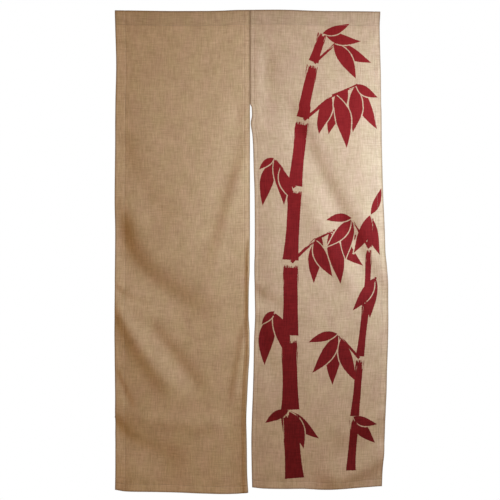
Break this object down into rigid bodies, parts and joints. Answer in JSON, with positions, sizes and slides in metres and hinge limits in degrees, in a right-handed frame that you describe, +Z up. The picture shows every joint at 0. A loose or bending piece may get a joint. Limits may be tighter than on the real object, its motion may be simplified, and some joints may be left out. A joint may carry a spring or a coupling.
{
  "type": "noren doorway curtain",
  "caption": "Split doorway curtain of linen-look cloth with a rod sleeve along its head, hanging in soft folds, with a brush-painted bamboo print.",
  "frame": {"origin": "on the top edge at the centre seam, where the curtain hangs from its rod", "axes": "+Z up, +X along the rod to the viewer's right, -Y towards the viewer, out of the printed face"},
  "size_m": [0.851, 0.0493, 1.5015],
  "materials": {
    "linen_cloth": "matt plain weave with slubs"
  },
  "bodies": {
    "root": {"panel_left": "linen_cloth", "panel_right": "linen_cloth"}
  },
  "joints": []
}
